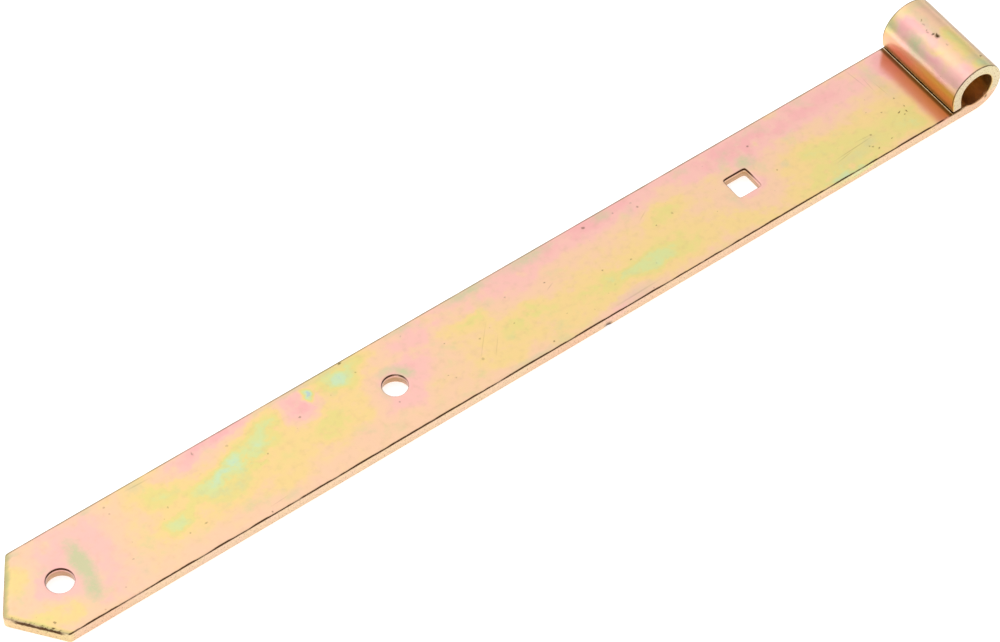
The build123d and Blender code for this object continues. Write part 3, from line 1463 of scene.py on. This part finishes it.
@dataclass
class Wear:
    """Marks that shearing, rolling and handling left on the flat blank."""

    thickness: float
    half_width: float
    tip: Vector
    shoulder_x: float
    blank_end: float
    nick_x: float
    wave: float = 0.035 * MM
    wave_edge: float = 3 * MM
    slope_rollover: float = 0.38 * MM
    slope_reach: float = 2.6 * MM
    edge_rollover: float = 0.10 * MM
    edge_reach: float = 1.3 * MM
    tear_depth: float = 0.42 * MM
    tear_below: float = 0.62 * MM
    tear_sway: float = 0.22 * MM
    tear_reach: float = 0.42 * MM
    tear_face: float = 0.25 * MM
    tear_start: float = 1.0 * MM
    tear_full: float = 3.0 * MM
    nick_depth: float = 0.35 * MM
    nick_height: float = 1.5 * MM
    nick_reach: float = 1.7 * MM
    nick_slant: float = 0.5 * MM
    lip_round: float = 0.9 * MM
    ridge_x: float = -10.6 * MM
    ridge_height: float = 0.16 * MM
    ridge_reach: float = 0.27 * MM
    ridge_start: float = 0.2 * MM
    ridge_full: float = 1.5 * MM

    def apply(self, verts: Iterable[bmesh.types.BMVert]) -> None:
        """Move every vertex of the dense flat blank.

        Args:
            verts: The vertices.
        """
        for vert in verts:
            flat = vert.co.copy()
            moves = (self._rollover, self._tear, self._nick, self._ridge, self._wave)
            vert.co = sum((move(flat) for move in moves), self._lip(flat))

    def _front_share(self, flat: Vector) -> float:
        """Tell how near the front a point lies: 1 on the front face, 0 on the back."""
        return min(max(1 + flat.z / self.thickness, 0.0), 1.0)

    def _slope(self, side: int) -> Vector:
        """Find the direction of a sloping edge of the point, away from the tip."""
        return (Vector((self.shoulder_x, side * self.half_width)) - self.tip.xy).normalized()

    def _slope_distance(self, flat: Vector, side: int) -> float:
        """Measure how far inside a sloping edge of the point a place lies.

        Args:
            flat: Place on the blank.
            side: 1 for the far slope, -1 for the near one.

        Returns:
            The distance, negative outside.
        """
        along = self._slope(side)
        away = flat.xy - self.tip.xy
        return side * (away.x * along.y - away.y * along.x)

    def _rollover(self, flat: Vector) -> Vector:
        """Sink the front where the shear pulled it down, at the far slope and both long edges.

        Args:
            flat: Place on the flat blank.

        Returns:
            How far it moves.
        """
        slope = 1 - self._slope_distance(flat, 1) / self.slope_reach
        edge = 1 - (self.half_width - abs(flat.y)) / self.edge_reach
        uneven = 0.75 + 0.5 * noise.noise(flat * 160)
        sink = 0.0
        if slope > 0 and flat.x < self.shoulder_x + MM:
            sink = self.slope_rollover * min(slope, 1.0) ** 2 * uneven
        if edge > 0:
            sink = max(sink, self.edge_rollover * edge ** 2 * uneven)
        return Vector((0, 0, -sink * self._front_share(flat)))

    def _tear(self, flat: Vector) -> Vector:
        """Tear a ragged groove along the upper half of the near slope.

        Args:
            flat: Place on the flat blank.

        Returns:
            How far it moves.
        """
        from_tip, from_shoulder = flat.x - self.tip.x, self.shoulder_x - flat.x
        outside = min(from_tip, from_shoulder) < self.tear_start
        if outside or self._slope_distance(flat, -1) > self.tear_face:
            return Vector()
        ragged = 0.5 + noise.noise(Vector((flat.x * 900, 0, 3.1))) + 0.4 * noise.noise(flat * 2600)
        middle = self.tear_below + self.tear_sway * noise.noise(Vector((flat.x * 500, 7.0, 0)))
        across = max(1 - abs(-flat.z - middle) / self.tear_reach, 0.0)
        ends = smoothstep(self.tear_start, self.tear_full, from_tip) \
            * smoothstep(self.tear_start, self.tear_full, from_shoulder)
        along = self._slope(-1)
        inward = Vector((-along.y, along.x, 0))
        return inward * (self.tear_depth * across * ends * max(ragged, 0.15))

    def _nick(self, flat: Vector) -> Vector:
        """Press a small nick into the lower edge of the near side.

        Args:
            flat: Place on the flat blank.

        Returns:
            How far it moves.
        """
        if flat.y > -self.half_width + MM:
            return Vector()
        rise = (self.thickness + flat.z) / self.nick_height
        away = abs(flat.x - self.nick_x + rise * self.nick_slant) / self.nick_reach
        return Vector((0, self.nick_depth * max(1 - math.hypot(rise, away), 0.0), 0))

    def _ridge(self, flat: Vector) -> Vector:
        """Raise the low ridge that the rolled end pressed up in front of itself.

        Args:
            flat: Place on the flat blank.

        Returns:
            How far it moves.
        """
        across = abs(flat.x - self.ridge_x) / self.ridge_reach
        if across >= 1 or flat.z < -0.5 * self.thickness:
            return Vector()
        ends = smoothstep(self.ridge_start, self.ridge_full, self.half_width - abs(flat.y))
        uneven = 0.8 + 0.5 * noise.noise(Vector((0, flat.y * 300, 5)))
        return Vector((0, 0, self.ridge_height * (1 - across ** 2) ** 2 * ends * uneven))

    def _lip(self, flat: Vector) -> Vector:
        """Round the outer corner of the rolled end.

        Args:
            flat: Place on the flat blank.

        Returns:
            Its new place.
        """
        reach = self.lip_round
        from_end = self.blank_end - flat.x
        from_back = self.thickness + flat.z
        if from_end > reach or from_back > reach:
            return flat
        away = Vector((reach - from_end, reach - from_back))
        long = away.length
        if long == 0:
            return flat
        scale = max(away) / long
        return Vector((self.blank_end - reach + away.x * scale, flat.y,
                       -self.thickness + reach - away.y * scale))

    def _wave(self, flat: Vector) -> Vector:
        """Leave the front face a little uneven.

        Args:
            flat: Place on the flat blank.

        Returns:
            How far it moves.
        """
        slow = noise.noise(Vector((flat.x * 28, flat.y * 40, flat.z * 40)))
        inside = smoothstep(0, self.wave_edge, self.half_width - abs(flat.y))
        return Vector((0, 0, self.wave * slow * inside * self._front_share(flat)))


@dataclass
class HingeStrap:
    """The finished strap, from blank to rolled, worn and plated bar."""

    blank: Blank
    eye: RolledEye
    smooth_levels: int = 2
    name: str = "rolled_strap"
    opening_margin: ClassVar[float] = 0.4 * MM

    @classmethod
    def from_frame(cls, frame: dict) -> HingeStrap:
        """Take the strap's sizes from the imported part.


        Returns:
            The strap, not yet built.
        """
        low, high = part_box("hinge_strap")
        mounts = {mount["name"]: mount for mount in frame["record"]["mounts"]}
        openings = {space["name"]: space for space in frame["record"]["physics"]["openings"]}
        front_z = mounts["square_hole"]["pos_m"][2]
        thickness = front_z - low[2]
        box_low, box_high = openings["square_bolt_hole"]["box_m"]
        square_half = (box_high[0] - box_low[0]) / 2 + cls.opening_margin
        eye = RolledEye(
            bore_radius=mounts["eye_bore"]["dims"]["r_mm"] * MM,
            outer_radius=high[2],
            thickness=thickness,
            front_z=front_z,
        )
        round_half = {name: mounts[name]["dims"]["r_mm"] * MM for name in ("end_hole", "middle_hole")}
        # Shape, half width, and then rollover, taper and breakout in mm
        punched = {
            "end_hole": (HoleShape.ROUND, round_half["end_hole"], 0.28, 0.35, 0.25),
            "middle_hole": (HoleShape.ROUND, round_half["middle_hole"], 0.26, 0.45, 0.30),
            "square_hole": (HoleShape.SQUARE, square_half, 0.30, 0.45, 0.25),
        }
        holes = tuple(
            PunchedHole(mounts[name]["pos_m"][0], half, shape, roll * MM, taper * MM, burst * MM)
            for name, (shape, half, roll, taper, burst) in punched.items()
        )
        blank = Blank(
            width=high[1] - low[1],
            thickness=thickness,
            tip_x=low[0],
            end_x=eye.blank_end,
            holes=holes,
        )
        return cls(blank, eye)

    def build(self) -> bpy.types.Object:
        """Model the strap.

        Returns:
            The strap's object, at the origin with its place in its mesh.
        """
        bm = self.blank.make()
        cage = self._object(bm, "blank_cage")
        cage.modifiers.new("smooth", "SUBSURF").levels = self.smooth_levels
        graph = bpy.context.evaluated_depsgraph_get()
        mesh = bpy.data.meshes.new_from_object(cage.evaluated_get(graph))
        bpy.data.objects.remove(cage)
        dense = bmesh.new()
        dense.from_mesh(mesh)
        bpy.data.meshes.remove(mesh)
        self._wear().apply(dense.verts)
        for vert in dense.verts:
            vert.co = self.eye.bend(vert.co)
        bmesh.ops.recalc_face_normals(dense, faces=dense.faces[:])
        return self._object(dense, self.name)

    @property
    def tip(self) -> Vector:
        """Where the bar's point lies."""
        return Vector((self.blank.tip_x, self.blank.point_drift, 0))

    def _wear(self) -> Wear:
        """Size the wear for this blank.

        Returns:
            The wear.
        """
        return Wear(
            thickness=self.blank.thickness,
            half_width=self.blank.width / 2,
            tip=self.tip,
            shoulder_x=self.blank.shoulder_x,
            blank_end=self.eye.blank_end,
            nick_x=self.blank.nick_x,
        )

    def finish(self) -> YellowZinc:
        """Size the finish for this strap.

        Returns:
            The finish, which works in millimetres.
        """
        seam_inset = 0.6
        holes = tuple(
            HoleZone(hole.centre_x / MM, hole.half_width / MM, hole.shape is HoleShape.SQUARE)
            for hole in self.blank.holes
        )
        return YellowZinc(BarShape(
            half_width=self.blank.width / 2 / MM,
            front_z=self.eye.front_z / MM,
            tip=(self.blank.tip_x / MM, self.blank.point_drift / MM),
            shoulder_x=self.blank.shoulder_x / MM,
            bore_radius=self.eye.bore_radius / MM,
            eye_radius=self.eye.outer_radius / MM,
            seam_x=seam_inset - self.eye.outer_radius / MM,
            ridge_x=self._wear().ridge_x / MM,
            holes=holes,
        ))

    def _object(self, bm: bmesh.types.BMesh, name: str) -> bpy.types.Object:
        """Turn a bmesh into a smooth-shaded object.

        Args:
            bm: The mesh, which is freed.
            name: The object's name.

        Returns:
            The object, linked to the scene.
        """
        mesh = mesh_from(bm, name)
        mesh.polygons.foreach_set("use_smooth", [True] * len(mesh.polygons))
        return put_in_scene(name, mesh)


# ------------------------------------------------------------------------------ studio
@dataclass(frozen=True)
class SoftBox:
    """A large soft lamp, which throws an even glow (metres)."""

    name: str
    centre: tuple[float, float, float]
    aim: tuple[float, float, float]
    width: float
    height: float
    radiance: float

    def build(self) -> None:
        """Hang the lamp."""
        data = bpy.data.lights.new(self.name, "AREA")
        data.shape = "RECTANGLE"
        data.size = self.width
        data.size_y = self.height
        data.energy = self.radiance * math.pi * self.width * self.height
        lamp = put_in_scene(self.name, data)
        centre = Vector(self.centre)
        lamp.matrix_world = Matrix.Translation(centre) @ looking(Vector(self.aim) - centre)


@dataclass
class Studio:
    """Pale floor, soft light and the camera."""

    floor_z: float
    floor_x: float = -0.2
    floor_size: float = 6.0
    eye_point: tuple[float, float, float] = (-0.7464, -0.7787, 1.2220)
    forward: tuple[float, float, float] = (0.35397, 0.50134, -0.78953)
    roll: float = math.radians(-1.10)
    lens: float = 162.0
    sensor_width: float = 36.0
    clip: tuple[float, float] = (0.05, 50.0)
    bright_side: tuple[float, float, float] = (0.0, 0.5, 0.62)
    dim_until: float = -0.10
    bright_from: float = 0.78
    dim: float = 0.26
    bright: float = 0.99
    softboxes: tuple[SoftBox, ...] = (
        SoftBox("key", (-0.25, 0.90, 1.40), (-0.25, 0.0, 0.0), 1.2, 1.0, 0.13),
        SoftBox("strip", (-0.50, 0.88, 1.40), (-0.25, 0.0, 0.0), 0.7, 0.9, 0.24),
    )

    def build(self) -> None:
        """Set up floor, light and camera."""
        self._floor()
        self._world()
        for box in self.softboxes:
            box.build()
        self._camera()
        bpy.context.scene.view_settings.view_transform = "Standard"

    def _floor(self) -> None:
        """Lay the floor just under the strap."""
        bm = bmesh.new()
        bmesh.ops.create_grid(bm, x_segments=4, y_segments=4, size=self.floor_size / 2)
        bmesh.ops.translate(bm, verts=bm.verts[:], vec=(self.floor_x, 0, self.floor_z))
        floor = put_in_scene("floor", mesh_from(bm, "floor"))
        floor.data.materials.append(StudioFloor().make())

    def _world(self) -> None:
        """Surround the strap with a room that is bright overhead and behind it, and dim in front."""
        world = bpy.data.worlds.new("studio")
        bpy.context.scene.world = world
        world.use_nodes = True
        bench = Bench(world.node_tree)
        toward = bench.node("ShaderNodeTexCoord", {}, {}).outputs["Generated"]
        rise = bench.wire(
            "ShaderNodeVectorMath", {"operation": "DOT_PRODUCT"}, {0: toward, 1: self.bright_side}, "Value"
        )
        strength = rise.ease(self.dim_until, self.bright_from) * (self.bright - self.dim) + self.dim
        back = bench.node("ShaderNodeBackground", {}, {"Color": (1.0, 1.0, 1.0, 1.0), "Strength": strength})
        bench.node("ShaderNodeOutputWorld", {}, {"Surface": back.outputs[0]})

    def _camera(self) -> None:
        """Place the camera."""
        data = bpy.data.cameras.new("camera")
        data.lens = self.lens
        data.sensor_width = self.sensor_width
        data.clip_start, data.clip_end = self.clip
        camera = put_in_scene("camera", data)
        turn = looking(Vector(self.forward)) @ Matrix.Rotation(self.roll, 4, "Z")
        camera.matrix_world = Matrix.Translation(self.eye_point) @ turn
        bpy.context.scene.camera = camera


def main() -> None:
    """Build the strap and the studio, and report each piece."""
    logging.basicConfig(level=logging.INFO, format="%(name)s: %(message)s")
    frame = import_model()

    strap = HingeStrap.from_frame(frame)
    piece = strap.build()
    piece.data.materials.append(strap.finish().make())
    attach(piece, "root")
    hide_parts("hinge_strap")
    LOG.info("%s: %d faces", piece.name, len(piece.data.polygons))

    low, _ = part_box("hinge_strap")
    Studio(floor_z=low[2]).build()


if __name__ == "__main__":
    main()
